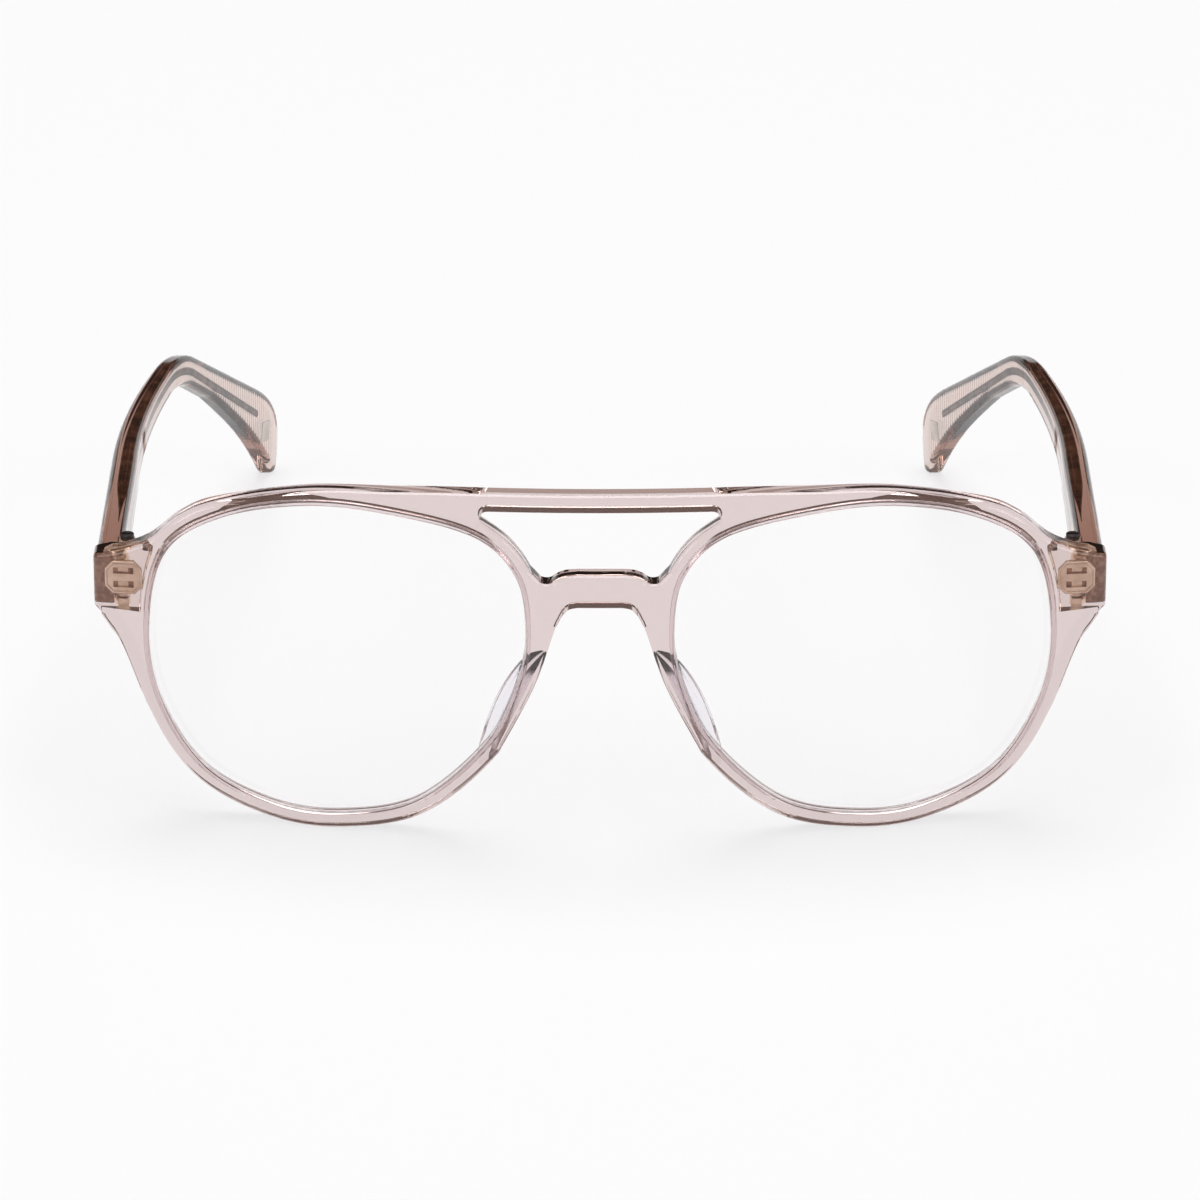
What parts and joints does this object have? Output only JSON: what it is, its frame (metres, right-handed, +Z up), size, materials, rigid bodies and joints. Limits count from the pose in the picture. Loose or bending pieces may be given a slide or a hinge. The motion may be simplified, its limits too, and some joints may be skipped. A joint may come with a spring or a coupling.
{
  "type": "eyeglasses",
  "caption": "Clear blush acetate eyeglasses with a brow bar, rounded drop-shaped lenses, clear nose pads and folding temples.",
  "frame": {"origin": "on the surface that the lower rims and the tips stand on, halfway across and halfway from the front to the ends of the tips", "axes": "+Z up, -Y the way the front faces, +X to the wearer's left"},
  "size_m": [0.146, 0.1398, 0.0536],
  "materials": {
    "acetate": "polished, clear blush",
    "lens": "polished, clear",
    "pad": "polished, clear",
    "hinge_metal": "satin, warm",
    "screw": "dark, satin",
    "core_wire": "satin, warm",
    "inlay": "satin, warm"
  },
  "bodies": {
    "front": {"frame_front": "acetate", "lens_right": "lens", "lens_left": "lens", "nose_pad_right": "pad", "nose_pad_left": "pad", "front_hinge_right": "hinge_metal", "front_hinge_left": "hinge_metal", "hinge_screw_right": "screw", "hinge_screw_left": "screw"},
    "temple_right": {"temple_right": "acetate", "temple_hinge_right": "hinge_metal", "temple_core_right": "core_wire", "tip_inlay_right": "inlay"},
    "temple_left": {"temple_left": "acetate", "temple_hinge_left": "hinge_metal", "temple_core_left": "core_wire", "tip_inlay_left": "inlay"}
  },
  "joints": [
    {"name": "right_fold", "type": "hinge", "parent": "front", "child": "temple_right", "pos_m": [-0.0683, -0.053, 0.03596], "axis": [0, 0, -1], "range_deg": [0, 77]},
    {"name": "left_fold", "type": "hinge", "parent": "front", "child": "temple_left", "pos_m": [0.0683, -0.053, 0.03596], "axis": [0, 0, 1], "range_deg": [0, 83]}
  ]
}
